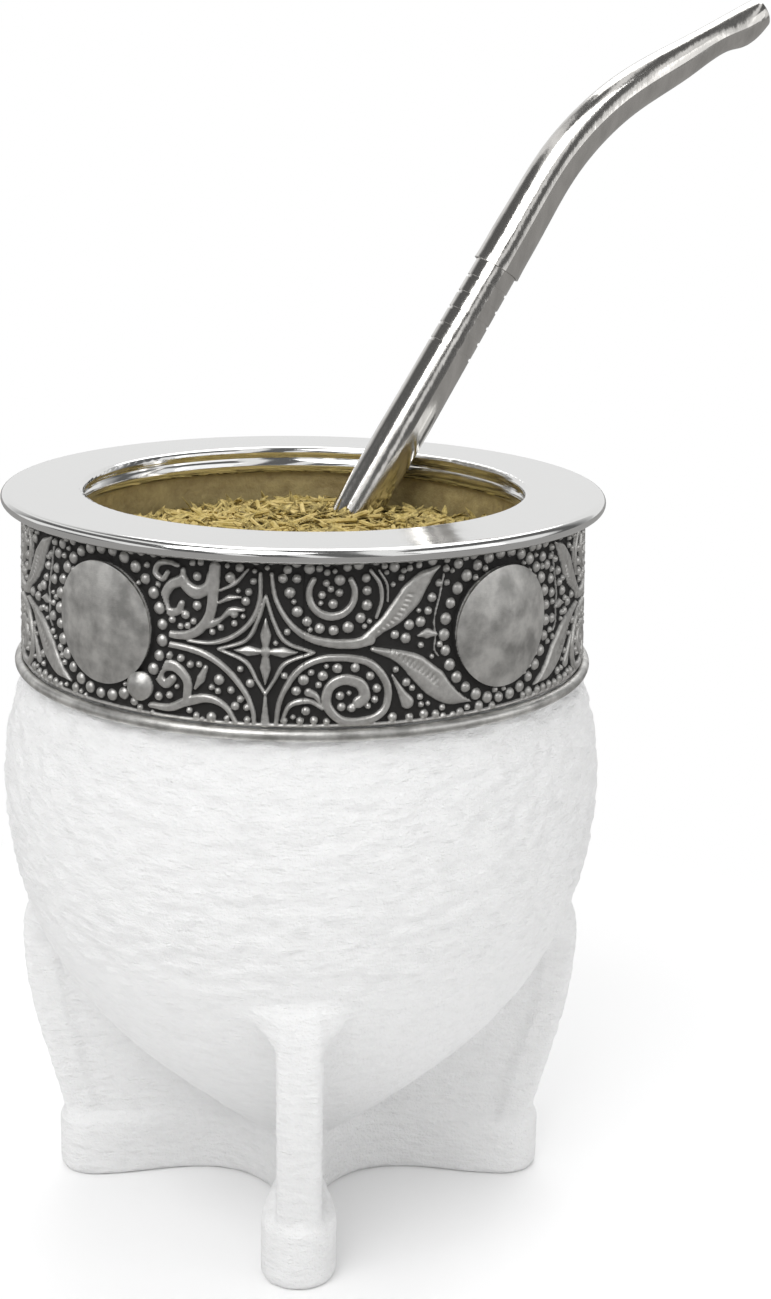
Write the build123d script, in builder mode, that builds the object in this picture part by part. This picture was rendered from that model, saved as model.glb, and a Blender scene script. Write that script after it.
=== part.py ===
"""A leather-covered mate gourd on four leather-covered legs, with its metal rim, its yerba and its straw.

Millimetres, +Z up. The origin is the middle of the flat underside of the legs, on the gourd's axis.
"""

import os
from math import cos, radians, sin, tan

from build123d import *

os.makedirs("parts", exist_ok=True)

# ---- driving dimensions ----

# Gourd: the outline of its leather cover, from the tip to the neck under the band. The wall is
# the leather and the shell together.
rim_height = 120.0
belly_radius = 48.8
belly_height = 73.0
tip_height = 6.0
shoulder_radius = 47.9
shoulder_height = 82.0
neck_height = 93.2
leather = 1.5
wall = 6.0

# Rim: a flat ring with a rolled edge, and a beaded collar that reaches down into the mouth.
rim_radius = 48.0
mouth_radius = 35.0
mouth_depth = 4.5
rim_sheet = 1.2
rolled_edge = 2.3
collar_wall = 1.4
collar_bead = 0.5
lip_round = 0.9

# Band: a slightly flared sleeve round the neck, with a wire along its foot.
band_foot_height = 93.4
band_foot_radius = 45.6
band_top_radius = 44.9
band_thickness = 1.3
wire_diameter = 1.8

# Bosses on the band: a pair of large domes in front and behind, and a small one in each pair.
boss_angle = 40.5
boss_radius = 9.1
boss_rise = 1.3
boss_edge = 0.3
boss_height = 106.0
small_boss_radius = 2.15
small_boss_rise = 1.1
small_boss_angle = 31.4
small_boss_height = 97.6

# Legs: a cross-shaped foot of four arms, and a fin on each arm that carries the gourd.
foot_height = 10.3
foot_reach = 41.5
foot_half_width = 6.0
foot_neck_half_width = 3.4
foot_hollow_radius = 13.3
foot_top_round = 1.2
foot_bottom_round = 0.5
fin_thickness = 7.2
fin_post_depth = 5.5
fin_web_thickness = 6.0
fin_foot_reach = 40.1
fin_top_reach = 46.8
fin_bulge_height = 44.0
fin_top_height = 50.4
fin_edge_round = 1.2
shoulder_half_width = 9.0
shoulder_reach = 45.9
shoulder_top = 49.2
shoulder_drop = 6.5

# Yerba: dry leaf filled to just below the collar, heaped a little towards the middle.
yerba_edge_height = 109.8
yerba_heap = 1.4
yerba_mounds = 9
yerba_mound_radius = 14.0
yerba_mound_rise = 0.8
yerba_mound_spread = 26.0

# Straw: a slightly tapered stem that leans on the rim, and a bent mouthpiece sleeved over it.
straw_x = 14.2
straw_y = 26.0
straw_turned = 17.0
straw_lean = 30.85
straw_bottom_height = 50.0
stem_bottom_diameter = 8.2
stem_top_diameter = 7.5
taper_start_height = 124.0
sleeve_height = 151.9
sleeve_overlap = 12.0
sleeve_diameter = 8.5
bend_start_diameter = 7.8
bend_end_diameter = 7.1
tip_diameter = 5.0
tip_round = 0.3
bore_diameter = 3.6
bend_corner_height = 177.0
bend_angle = 30.15
bend_radius = 50.0
tail_length = 37.7
groove_count = 5
groove_first = 3.4
groove_pitch = 3.1
groove_depth = 0.2
groove_width = 0.6

# Clearances between pieces that are glued, soldered or pushed together.
seat_gap = 0.05
sleeve_gap = 0.1
leaf_gap = 0.15

# ---- values that follow ----

sheet_underside = rim_height - rim_sheet
collar_radius = mouth_radius + collar_wall
collar_bottom = rim_height - mouth_depth
band_top_height = sheet_underside - seat_gap
band_height = band_top_height - band_foot_height
neck_foot_radius = band_foot_radius - band_thickness - seat_gap
neck_top_radius = band_top_radius - band_thickness - seat_gap
stem_elevation = 90 - straw_lean
tail_elevation = stem_elevation - bend_angle


def band_radius(height):
    """The band's outer radius at a height."""
    share = (height - band_foot_height) / band_height
    return band_foot_radius + share * (band_top_radius - band_foot_radius)


def gourd_side(inset):
    """The curve of the gourd's side from its tip to its neck, moved inwards by inset."""
    climb = belly_height - tip_height
    return Spline(
        (0, tip_height + inset),
        (0.39 * belly_radius - 0.72 * inset, tip_height + 0.18 * climb + 0.69 * inset),
        (0.72 * belly_radius - 0.72 * inset, tip_height + 0.42 * climb + 0.6 * inset),
        (0.914 * belly_radius - 0.9 * inset, tip_height + 0.66 * climb + 0.3 * inset),
        (belly_radius - inset, belly_height),
        (shoulder_radius - inset, shoulder_height),
        (neck_foot_radius - inset, neck_height),
        tangents=[(1, 0.25), (-0.42, 1)],
    )


def gourd_outside(grow):
    """The solid of the gourd's outside up to its neck's top, grown by a gap."""
    with BuildPart() as body:
        with BuildSketch(Plane.XZ):
            with BuildLine():
                side = gourd_side(-grow)
                Polyline(
                    side @ 1,
                    (neck_top_radius + grow, band_top_height),
                    (0, band_top_height),
                    side @ 0,
                )
            make_face()
        revolve(axis=Axis.Z)
    return body.part


def gourd_inside(inset, top_edge, top_middle):
    """The solid of the space inside the gourd up to a heaped top, drawn in from the wall by inset."""
    mouth = collar_radius + seat_gap - inset
    with BuildPart() as space:
        with BuildSketch(Plane.XZ):
            with BuildLine():
                side = gourd_side(wall + inset)
                Polyline(side @ 1, (mouth, neck_height + wall), (mouth, top_edge))
                Spline((mouth, top_edge), (0, top_middle), tangents=[(-1, 0.15), (-1, 0)])
                Line((0, top_middle), side @ 0)
            make_face()
        revolve(axis=Axis.Z)
    return space.part


# ---- gourd ----

with BuildPart() as gourd_shell:
    add(gourd_outside(-leather - seat_gap))
    add(gourd_inside(0, rim_height, rim_height + seat_gap), mode=Mode.SUBTRACT)
gourd_shell.part.label = "gourd_shell"
export_step(gourd_shell.part, "parts/gourd_shell.step")

with BuildPart() as leather_cover:
    add(gourd_outside(0))
    add(gourd_outside(-leather), mode=Mode.SUBTRACT)
leather_cover.part.label = "leather_cover"
export_step(leather_cover.part, "parts/leather_cover.step")


# ---- legs ----

def quarter(x, y, turn):
    """A point turned about the axis by so many quarter turns."""
    for _ in range(turn):
        x, y = -y, x
    return (x, y)


arms = 4
round_start = foot_reach - foot_half_width
hollow_start = foot_neck_half_width + foot_hollow_radius
hollow_middle = hollow_start - foot_hollow_radius * cos(radians(45))

with BuildPart() as foot:
    with BuildSketch():
        with BuildLine():
            for turn in range(arms):
                near = Spline(
                    quarter(hollow_start, -foot_neck_half_width, turn),
                    quarter(round_start, -foot_half_width, turn),
                    tangents=[quarter(1, 0, turn), quarter(1, 0, turn)],
                )
                end = ThreePointArc(
                    near @ 1,
                    quarter(foot_reach, 0, turn),
                    quarter(round_start, foot_half_width, turn),
                )
                far = Spline(
                    end @ 1,
                    quarter(hollow_start, foot_neck_half_width, turn),
                    tangents=[quarter(-1, 0, turn), quarter(-1, 0, turn)],
                )
                ThreePointArc(
                    far @ 1,
                    quarter(hollow_middle, hollow_middle, turn),
                    quarter(foot_neck_half_width, hollow_start, turn),
                )
        make_face()
    extrude(amount=foot_height)
    fillet(foot.faces().sort_by(Axis.Z)[-1].edges(), radius=foot_top_round)
    fillet(foot.faces().sort_by(Axis.Z)[0].edges(), radius=foot_bottom_round)


def fin_edge(inset):
    """The fin's outer edge from the foot to its rounded top, moved inwards by inset."""
    foot_top = foot_height - foot_top_round
    rise = Spline(
        (fin_foot_reach - inset, foot_top),
        (fin_top_reach - inset, fin_bulge_height),
        tangents=[(0.18, 1), (0, 1)],
    )
    crown = Spline(
        rise @ 1,
        (fin_top_reach - inset - 2.4, fin_top_height),
        tangents=[(0, 1), (-1, 0.7)],
    )
    return rise @ 0, crown @ 1


with BuildPart() as post:
    with BuildSketch(Plane.XZ):
        with BuildLine():
            outer_foot, outer_top = fin_edge(0)
            inner_foot, inner_top = fin_edge(fin_post_depth)
            Line(outer_foot, inner_foot)
            Line(outer_top, inner_top)
        make_face()
    extrude(amount=fin_thickness / 2, both=True)
    outer_edges = post.edges().filter_by(Axis.Y, reverse=True).group_by(Axis.X)[-1]
    fillet(outer_edges, radius=fin_edge_round)

with BuildPart() as web:
    with BuildSketch(Plane.XZ):
        with BuildLine():
            web_foot, web_top = fin_edge(fin_post_depth / 2)
            Polyline(web_top, (0, fin_top_height), (0, web_foot.Y), web_foot)
        make_face()
    extrude(amount=fin_web_thickness / 2, both=True)

with BuildPart() as shoulder:
    inner_reach = shoulder_reach - 2 * fin_post_depth
    edge_reach = (shoulder_reach**2 - shoulder_half_width**2) ** 0.5 - 2.2
    with BuildSketch(Plane.XY.offset(shoulder_top)):
        with BuildLine():
            ThreePointArc(
                (edge_reach, -shoulder_half_width),
                (shoulder_reach, 0),
                (edge_reach, shoulder_half_width),
            )
            Polyline(
                (edge_reach, shoulder_half_width),
                (inner_reach, shoulder_half_width),
                (inner_reach, -shoulder_half_width),
                (edge_reach, -shoulder_half_width),
            )
        make_face()
    with BuildSketch(Plane.XY.offset(shoulder_top - shoulder_drop)):
        half = fin_thickness / 2
        with BuildLine():
            ThreePointArc((shoulder_reach - 1, -half), (shoulder_reach, 0), (shoulder_reach - 1, half))
            Polyline(
                (shoulder_reach - 1, half),
                (inner_reach, half),
                (inner_reach, -half),
                (shoulder_reach - 1, -half),
            )
        make_face()
    loft()

with BuildPart() as leg_base:
    add(foot.part)
    with PolarLocations(0, arms):
        add(post.part)
        add(web.part)
        add(shoulder.part)
    add(gourd_outside(seat_gap), mode=Mode.SUBTRACT)
leg_base.part.label = "leg_base"
export_step(leg_base.part, "parts/leg_base.step")


# ---- rim, band and the wire at its foot ----

with BuildPart() as rim:
    with BuildSketch(Plane.XZ):
        roll = rolled_edge / 2
        roll_middle = rim_radius - roll
        bead = mouth_radius + collar_bead
        bead_top = rim_height - 0.5 * mouth_depth
        with BuildLine():
            RadiusArc(
                (mouth_radius, rim_height - lip_round),
                (mouth_radius + lip_round, rim_height),
                lip_round,
            )
            Line((mouth_radius + lip_round, rim_height), (roll_middle, rim_height))
            ThreePointArc(
                (roll_middle, rim_height),
                (rim_radius, rim_height - roll),
                (roll_middle, rim_height - rolled_edge),
            )
            ThreePointArc(
                (roll_middle, rim_height - rolled_edge),
                (roll_middle - 0.7 * roll, rim_height - 1.7 * roll),
                (roll_middle - roll, sheet_underside),
            )
            Polyline(
                (roll_middle - roll, sheet_underside),
                (collar_radius, sheet_underside),
                (collar_radius, collar_bottom),
                (bead, collar_bottom),
            )
            ThreePointArc(
                (bead, collar_bottom),
                (mouth_radius + 0.1, 0.5 * (collar_bottom + bead_top)),
                (bead, bead_top),
            )
            Polyline(
                (bead, bead_top),
                (bead + 0.1, bead_top + 0.3),
                (mouth_radius, rim_height - lip_round - 0.4),
                (mouth_radius, rim_height - lip_round),
            )
        make_face()
    revolve(axis=Axis.Z)
rim.part.label = "rim"
export_step(rim.part, "parts/rim.step")

with BuildPart() as band:
    with BuildSketch(Plane.XZ):
        with BuildLine():
            Polyline(
                (band_foot_radius - band_thickness, band_foot_height),
                (band_foot_radius, band_foot_height),
                (band_top_radius, band_top_height),
                (band_top_radius - band_thickness, band_top_height),
                close=True,
            )
        make_face()
    revolve(axis=Axis.Z)
band.part.label = "band"
export_step(band.part, "parts/band.step")

with BuildPart() as band_wire:
    with BuildSketch(Plane.XZ):
        with Locations((band_foot_radius, band_foot_height - wire_diameter / 2 - seat_gap)):
            Circle(wire_diameter / 2)
    revolve(axis=Axis.Z)
    add(gourd_outside(seat_gap), mode=Mode.SUBTRACT)
band_wire.part.label = "band_wire"
export_step(band_wire.part, "parts/band_wire.step")


# ---- bosses ----

with BuildPart() as band_core:
    with BuildSketch(Plane.XZ):
        with BuildLine():
            Polyline(
                (0, band_foot_height),
                (band_foot_radius + seat_gap, band_foot_height),
                (band_top_radius + seat_gap, band_top_height),
                (0, band_top_height),
                close=True,
            )
        make_face()
    revolve(axis=Axis.Z)

boss_crown = band_radius(boss_height) + boss_rise
sideways_drop = boss_rise - boss_edge + boss_radius**2 / (2 * band_radius(boss_height))
sideways_radius = boss_radius**2 / (2 * sideways_drop)

front_and_back = (-90, 90)
boss_angles = [middle + side * boss_angle for middle in front_and_back for side in (-1, 1)]

for number, turned in enumerate(boss_angles, start=1):
    radial = Plane(origin=(0, 0, boss_height), x_dir=(0, 0, 1), z_dir=(1, 0, 0)).rotated((0, 0, turned))
    with BuildPart() as boss:
        with BuildSketch(Plane.XZ.rotated((0, 0, turned))):
            with BuildLine():
                ThreePointArc(
                    (boss_crown - boss_rise + boss_edge, boss_height - boss_radius),
                    (boss_crown, boss_height),
                    (boss_crown - boss_rise + boss_edge, boss_height + boss_radius),
                )
                Polyline(
                    (boss_crown - boss_rise + boss_edge, boss_height + boss_radius),
                    (boss_crown - sideways_radius, boss_height + boss_radius),
                    (boss_crown - sideways_radius, boss_height - boss_radius),
                    (boss_crown - boss_rise + boss_edge, boss_height - boss_radius),
                )
            make_face()
        middle = boss_crown - sideways_radius
        heading = radians(turned)
        revolve(axis=Axis((middle * cos(heading), middle * sin(heading), 0), (0, 0, 1)))
        with BuildSketch(radial):
            Circle(boss_radius)
        extrude(amount=rim_radius, mode=Mode.INTERSECT)
        add(band_core.part, mode=Mode.SUBTRACT)
    boss.part.label = f"boss_{number}"
    export_step(boss.part, f"parts/boss_{number}.step")

small_ball = (small_boss_radius**2 + small_boss_rise**2) / (2 * small_boss_rise)
small_reach = band_radius(small_boss_height) + small_boss_rise - small_ball

for number, middle in enumerate(front_and_back, start=1):
    heading = radians(middle - small_boss_angle)
    with BuildPart() as small_boss:
        with Locations((small_reach * cos(heading), small_reach * sin(heading), small_boss_height)):
            Sphere(small_ball)
        add(band_core.part, mode=Mode.SUBTRACT)
    small_boss.part.label = f"small_boss_{number}"
    export_step(small_boss.part, f"parts/small_boss_{number}.step")


# ---- straw ----

def straw_point(along, height):
    """A point in the straw's upright plane: its distance along the lean, and its height."""
    heading = radians(straw_turned)
    return Vector(straw_x + along * cos(heading), straw_y + along * sin(heading), height)


def straw_frame(along, height, elevation):
    """A plane across the straw at a point where the tube climbs at an elevation in degrees."""
    heading = radians(straw_turned)
    climb = radians(elevation)
    axis = Vector(cos(climb) * cos(heading), cos(climb) * sin(heading), sin(climb))
    return Plane(
        origin=straw_point(along, height),
        x_dir=(sin(heading), -cos(heading), 0),
        z_dir=axis,
    )


def lean_along(height):
    """How far along its lean the stem's axis has come at a height."""
    return (height - rim_height) * tan(radians(straw_lean))


def stem_length(height):
    """How far up the stem's axis a height is, from where it passes the rim."""
    return (height - rim_height) / cos(radians(straw_lean))


stem_frame = straw_frame(0, rim_height, stem_elevation)
stem_axis = Axis(stem_frame.origin, stem_frame.z_dir)
stem_foot = stem_length(straw_bottom_height)
stem_head = stem_length(sleeve_height) + sleeve_overlap

with BuildPart() as straw_stem:
    half_plane = Plane(
        origin=stem_frame.origin,
        x_dir=stem_frame.x_dir,
        z_dir=stem_frame.x_dir.cross(stem_frame.z_dir),
    )
    with BuildSketch(half_plane):
        with BuildLine():
            Polyline(
                (bore_diameter / 2, stem_foot),
                (stem_bottom_diameter / 2, stem_foot),
                (stem_bottom_diameter / 2, stem_length(taper_start_height)),
                (stem_top_diameter / 2, stem_length(sleeve_height)),
                (stem_top_diameter / 2, stem_head),
                (bore_diameter / 2, stem_head),
                close=True,
            )
        make_face()
        taper_run = stem_length(sleeve_height) - stem_length(taper_start_height)
        taper = (stem_bottom_diameter - stem_top_diameter) / 2 / taper_run
        for number in range(groove_count):
            below = groove_first + number * groove_pitch
            surface = stem_top_diameter / 2 + taper * below
            with Locations((surface, stem_length(sleeve_height) - below)):
                Rectangle(2 * groove_depth, groove_width, mode=Mode.SUBTRACT)
    revolve(axis=stem_axis)
straw_stem.part.label = "straw_stem"
export_step(straw_stem.part, "parts/straw_stem.step")

tangent_length = bend_radius * tan(radians(bend_angle / 2))
climb_in = radians(stem_elevation)
climb_out = radians(tail_elevation)
corner_along = lean_along(bend_corner_height)
bend_start = (
    corner_along - tangent_length * cos(climb_in),
    bend_corner_height - tangent_length * sin(climb_in),
)
bend_middle = (
    bend_start[0] + bend_radius * sin(climb_in),
    bend_start[1] - bend_radius * cos(climb_in),
)
tip_point = (
    corner_along + tail_length * cos(climb_out),
    bend_corner_height + tail_length * sin(climb_out),
)


def bend_point(turned):
    """The tube's axis in the bend after so many degrees of turn."""
    climb = radians(stem_elevation - turned)
    return (bend_middle[0] - bend_radius * sin(climb), bend_middle[1] + bend_radius * cos(climb))


def between(start, end, share):
    """A value or a point a share of the way from one to another."""
    if isinstance(start, tuple):
        return tuple(a + share * (b - a) for a, b in zip(start, end))
    return start + share * (end - start)


sleeve_start = (lean_along(sleeve_height), sleeve_height)
bend_end = bend_point(bend_angle)
sections = []
for share in (0, 0.35, 0.7):
    sections.append(
        (
            between(sleeve_start, bend_start, share),
            stem_elevation,
            between(sleeve_diameter, bend_start_diameter, share),
        )
    )
for share in (0, 0.2, 0.4, 0.6, 0.8, 1):
    sections.append(
        (
            bend_point(share * bend_angle),
            stem_elevation - share * bend_angle,
            between(bend_start_diameter, bend_end_diameter, share),
        )
    )
for share in (0.3, 0.65, 1):
    sections.append(
        (
            between(bend_end, tip_point, share),
            tail_elevation,
            between(bend_end_diameter, tip_diameter, share),
        )
    )

with BuildPart() as mouthpiece:
    for point, elevation, diameter in sections:
        with BuildSketch(straw_frame(*point, elevation)):
            Circle(diameter / 2)
    loft()
    fillet(mouthpiece.faces().sort_by(Axis.Z)[-1].edges(), radius=tip_round)
    with BuildLine() as bore_path:
        Line(straw_point(*sleeve_start), straw_point(*bend_start))
        ThreePointArc(
            straw_point(*bend_start),
            straw_point(*bend_point(bend_angle / 2)),
            straw_point(*bend_end),
        )
        Line(straw_point(*bend_end), straw_point(*between(bend_end, tip_point, 1.1)))
    with BuildSketch(straw_frame(*sleeve_start, stem_elevation)):
        Circle(bore_diameter / 2)
    sweep(path=bore_path.line, mode=Mode.SUBTRACT)
    with BuildSketch(straw_frame(*sleeve_start, stem_elevation)):
        Circle(stem_top_diameter / 2 + sleeve_gap)
    extrude(amount=sleeve_overlap + sleeve_gap, mode=Mode.SUBTRACT)
mouthpiece.part.label = "mouthpiece"
export_step(mouthpiece.part, "parts/mouthpiece.step")


# ---- yerba ----

golden_turn = 137.5
mound_drop = yerba_mound_radius - yerba_mound_rise

with BuildPart() as yerba:
    add(gourd_inside(leaf_gap, yerba_edge_height, yerba_edge_height + yerba_heap))
    for number in range(yerba_mounds):
        heading = radians(number * golden_turn)
        out = yerba_mound_spread * ((number + 0.5) / yerba_mounds) ** 0.5
        level = yerba_edge_height + yerba_heap * (1 - (out / mouth_radius) ** 2)
        with Locations((out * cos(heading), out * sin(heading), level - mound_drop)):
            Sphere(yerba_mound_radius)
    add(gourd_inside(leaf_gap, rim_height, rim_height + seat_gap), mode=Mode.INTERSECT)
    with BuildSketch(stem_frame.offset(stem_foot - leaf_gap)):
        Circle(stem_bottom_diameter / 2 + leaf_gap)
    extrude(amount=stem_head - stem_foot, mode=Mode.SUBTRACT)
yerba.part.label = "yerba"
export_step(yerba.part, "parts/yerba.step")
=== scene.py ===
"""The finish of a mate gourd on a leather foot, with its embossed band, its yerba and its straw."""

from math import atan2, cos, pi, sin

import bmesh
import bpy
import numpy as np
from bpy.props import FloatProperty, FloatVectorProperty, IntProperty, PointerProperty
from mathutils import Matrix, Vector


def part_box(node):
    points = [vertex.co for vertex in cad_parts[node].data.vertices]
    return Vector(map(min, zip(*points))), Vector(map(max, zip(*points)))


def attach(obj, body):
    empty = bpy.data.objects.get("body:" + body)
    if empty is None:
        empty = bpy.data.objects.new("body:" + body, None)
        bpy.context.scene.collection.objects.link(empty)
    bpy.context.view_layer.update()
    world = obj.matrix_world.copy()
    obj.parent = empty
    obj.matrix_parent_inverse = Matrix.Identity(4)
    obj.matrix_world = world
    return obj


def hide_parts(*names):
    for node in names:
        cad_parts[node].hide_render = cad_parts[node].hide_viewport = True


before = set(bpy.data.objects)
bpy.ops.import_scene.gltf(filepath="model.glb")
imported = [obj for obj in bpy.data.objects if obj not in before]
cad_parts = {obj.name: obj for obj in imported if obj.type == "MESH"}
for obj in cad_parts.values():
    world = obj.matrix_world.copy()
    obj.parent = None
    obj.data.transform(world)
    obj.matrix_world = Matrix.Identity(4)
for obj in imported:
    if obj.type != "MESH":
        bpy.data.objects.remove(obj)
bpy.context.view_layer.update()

bl_info = {
    "name": "Mate gourd",
    "version": (1, 0, 0),
    "blender": (4, 5, 0),
    "location": "View3D > Sidebar > Mate gourd",
    "description": "Dresses the mate gourd's frame in leather, silver, steel and yerba",
    "category": "Object",
}

MM = 0.001
BODY = "root"


# ---- what a user would change ----

def colour(name, description, default):
    """A colour property."""
    return FloatVectorProperty(
        name=name, description=description, default=default, subtype="COLOR", size=3, min=0, max=1
    )


def length(name, description, default):
    """A length property, in metres."""
    return FloatProperty(name=name, description=description, default=default, unit="LENGTH")


class LeatherSettings(bpy.types.PropertyGroup):
    """The leather of the gourd and its foot."""

    tint: colour("Leather", "Colour of the white leather", (0.88, 0.88, 0.88))
    # The crease colour is painted shade: the leather is drawn darker deep in its wrinkles, where shade
    # falls.
    shade: colour("Crease", "Colour deep in the leather's wrinkles", (0.83, 0.83, 0.83))
    voxel: length("Voxel", "Size of the faces of the leather's mesh", 0.72 * MM)
    grain: length("Grain", "Depth of the leather's wrinkles", 0.55 * MM)


class BandSettings(bpy.types.PropertyGroup):
    """The embossed band and its bosses."""

    silver: colour("Silver", "Colour of the raised silver", (0.72, 0.71, 0.685))
    black: colour("Blackening", "Colour in the band's hollows", (0.012, 0.011, 0.010))
    relief: length("Relief", "Height of the ornament over its ground", 0.85 * MM)
    step: length("Step", "Distance between the points of the band's mesh", 0.182 * MM)


class MetalSettings(bpy.types.PropertyGroup):
    """The polished rim and straw."""

    rim: colour("Rim", "Colour of the polished rim", (0.84, 0.84, 0.83))
    straw: colour("Straw", "Colour of the straw's steel", (0.76, 0.74, 0.71))


class YerbaSettings(bpy.types.PropertyGroup):
    """The dry leaf in the gourd."""

    leaf: colour("Leaf", "Colour of the dry leaf", (0.42, 0.32, 0.09))
    pale: colour("Stalk", "Colour of the pale stalks", (0.66, 0.52, 0.22))
    shell: colour("Shell", "Colour of the gourd's bare inside", (0.27, 0.205, 0.09))
    flakes: IntProperty(name="Flakes", description="How many flakes of leaf", default=2900, min=10)
    stalks: IntProperty(name="Stalks", description="How many cut stalks", default=900, min=10)


SETTINGS = {
    "mate_leather": LeatherSettings,
    "mate_band": BandSettings,
    "mate_metal": MetalSettings,
    "mate_yerba": YerbaSettings,
}


# ---- shader maths ----

class Wire:
    """A node socket that takes part in Python expressions."""

    def __init__(self, tree, socket):
        self.tree = tree
        self.socket = socket

    def maths(self, operation, *others, swap=False):
        """A Math node on this value and others."""
        values = [self, *others]
        if swap:
            values.reverse()
        return Shade.node(self.tree, "ShaderNodeMath", {"operation": operation}, values)

    def __add__(self, other):
        return self.maths("ADD", other)

    def __radd__(self, other):
        return self.maths("ADD", other)

    def __sub__(self, other):
        return self.maths("SUBTRACT", other)

    def __rsub__(self, other):
        return self.maths("SUBTRACT", other, swap=True)

    def __mul__(self, other):
        return self.maths("MULTIPLY", other)

    def __rmul__(self, other):
        return self.maths("MULTIPLY", other)

    def __truediv__(self, other):
        return self.maths("DIVIDE", other)

    def __pow__(self, other):
        return self.maths("POWER", other)

    def clamp(self):
        """This value kept between 0 and 1."""
        return self.maths("MAXIMUM", 0.0).maths("MINIMUM", 1.0)

    def between(self, low, high):
        """0 below low, 1 above high, and a ramp between them."""
        return ((self - low) / (high - low)).clamp()


class Shade:
    """One material's node tree."""

    def __init__(self, name):
        self.material = bpy.data.materials.new(name)
        self.material.use_nodes = True
        self.tree = self.material.node_tree
        self.shader = self.tree.nodes["Principled BSDF"]

    @staticmethod
    def node(tree, kind, settings, values, output=0):
        """Any node, with its settings made first and its sockets then given values or links."""
        made = tree.nodes.new(kind)
        for key, value in settings.items():
            setattr(made, key, value)
        pairs = values.items() if isinstance(values, dict) else enumerate(values)
        for key, value in pairs:
            if isinstance(value, Wire):
                tree.links.new(value.socket, made.inputs[key])
            else:
                made.inputs[key].default_value = value
        return Wire(tree, made.outputs[output])

    def add(self, kind, settings=None, values=(), output=0):
        """A node in this material."""
        return self.node(self.tree, kind, settings or {}, values, output)

    def place(self, stretch=(1, 1, 1), turn=(0, 0, 0)):
        """Object coordinates in millimetres, stretched and turned."""
        spot = self.add("ShaderNodeTexCoord", output="Object")
        scale = tuple(1000 * value for value in stretch)
        return self.add("ShaderNodeMapping", {}, {"Vector": spot, "Scale": scale, "Rotation": turn})

    def noise(self, spot, scale, detail=3.0, rough=0.5):
        """Noise from 0 to 1 whose blobs are about 1 / scale across."""
        values = {"Vector": spot, "Scale": scale, "Detail": detail, "Roughness": rough}
        return self.add("ShaderNodeTexNoise", {"noise_dimensions": "3D"}, values)

    def split(self, spot):
        """The three parts of a vector."""
        parts = self.tree.nodes.new("ShaderNodeSeparateXYZ")
        self.tree.links.new(spot.socket, parts.inputs[0])
        return [Wire(self.tree, socket) for socket in parts.outputs]

    def mix(self, share, low, high):
        """A colour a share of the way from one to another."""
        full = [(*value, 1.0) if isinstance(value, tuple) else value for value in (low, high)]
        values = {0: share, 6: full[0], 7: full[1]}
        return self.add("ShaderNodeMix", {"data_type": "RGBA"}, values, output=2)

    def bump(self, height, depth):
        """A normal from a height of 0 to 1, with its depth in millimetres."""
        values = {"Height": height, "Distance": depth * MM, "Strength": 1.0}
        return self.add("ShaderNodeBump", {}, values)

    def set(self, **sockets):
        """Constants and links on the shader's own sockets, by name with _ for a space."""
        for key, value in sockets.items():
            socket = self.shader.inputs[key.replace("_", " ")]
            if isinstance(value, Wire):
                self.tree.links.new(value.socket, socket)
            else:
                socket.default_value = (*value, 1.0) if isinstance(value, tuple) else value
        return self.material


def plain(values):
    """A property's colour as a tuple."""
    return tuple(values)


def leather_finish():
    """White leather with fine wrinkles that run round the gourd, and painted shade in the wrinkles'
    creases.
    """
    look = bpy.context.scene.mate_leather
    shade = Shade("white_leather")
    flat = shade.place(stretch=(0.55, 0.55, 1.5))
    wrinkle = shade.noise(flat, 0.55, 5.0, 0.62)
    pore = shade.noise(shade.place(), 2.6, 2.0)
    crease_shade_mask = wrinkle.between(0.25, 0.52)
    # Painted shade: the leather's colour runs to the crease colour deep in the wrinkles.
    tint = shade.mix(crease_shade_mask, plain(look.shade), plain(look.tint))
    height = wrinkle * 0.8 + pore * 0.2
    return shade.set(
        Base_Color=tint, Roughness=0.62 - crease_shade_mask * 0.08, Normal=shade.bump(height, 1.0),
        Specular_IOR_Level=0.35,
    )


def relief_height(shade):
    """How far a point of the band stands over its ground, from 0 to 1."""
    look = bpy.context.scene.mate_band
    x, y, z = shade.split(shade.place())
    out = (x * x + y * y) ** 0.5
    foot, top = BAND_FOOT / MM, BAND_TOP / MM
    lean = (BAND_TOP_RADIUS - BAND_FOOT_RADIUS) / MM / (top - foot)
    face = (z - foot) * lean + BAND_FOOT_RADIUS / MM
    deep = look.relief / MM
    return (out - face + deep) / deep


def band_finish():
    """Silver, bright where it stands up and blackened in the hollows."""
    look = bpy.context.scene.mate_band
    shade = Shade("antique_silver")
    high = relief_height(shade)
    smoke = shade.noise(shade.place(), 0.9, 4.0, 0.6)
    bright = (high + smoke * 0.3 - 0.15).between(0.25, 0.62)
    silver = shade.mix(smoke.between(0.3, 0.7), (0.52, 0.51, 0.49), plain(look.silver))
    tint = shade.mix(bright, plain(look.black), silver)
    scratch = shade.noise(shade.place(stretch=(1, 1, 3.0)), 3.2, 3.0)
    return shade.set(
        Base_Color=tint, Metallic=bright * 0.95, Roughness=0.62 - bright * 0.28 + scratch * 0.12,
        Normal=shade.bump(scratch, 0.03),
    )


def boss_finish():
    """Satin silver with fine hand scratches and soft cloudy tarnish."""
    look = bpy.context.scene.mate_band
    shade = Shade("boss_silver")
    cloud = shade.noise(shade.place(), 0.22, 4.0, 0.55)
    scratch = shade.noise(shade.place(stretch=(0.5, 0.5, 7.0), turn=(0, 0, 0.2)), 1.6, 4.0, 0.7)
    tint = shade.mix(cloud.between(0.36, 0.62), (0.44, 0.435, 0.42), (0.86, 0.85, 0.82))
    rough = 0.2 + cloud * 0.2 + scratch * 0.14
    return shade.set(
        Base_Color=tint, Metallic=1.0, Roughness=rough, Normal=shade.bump(scratch, 0.035)
    )


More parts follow.
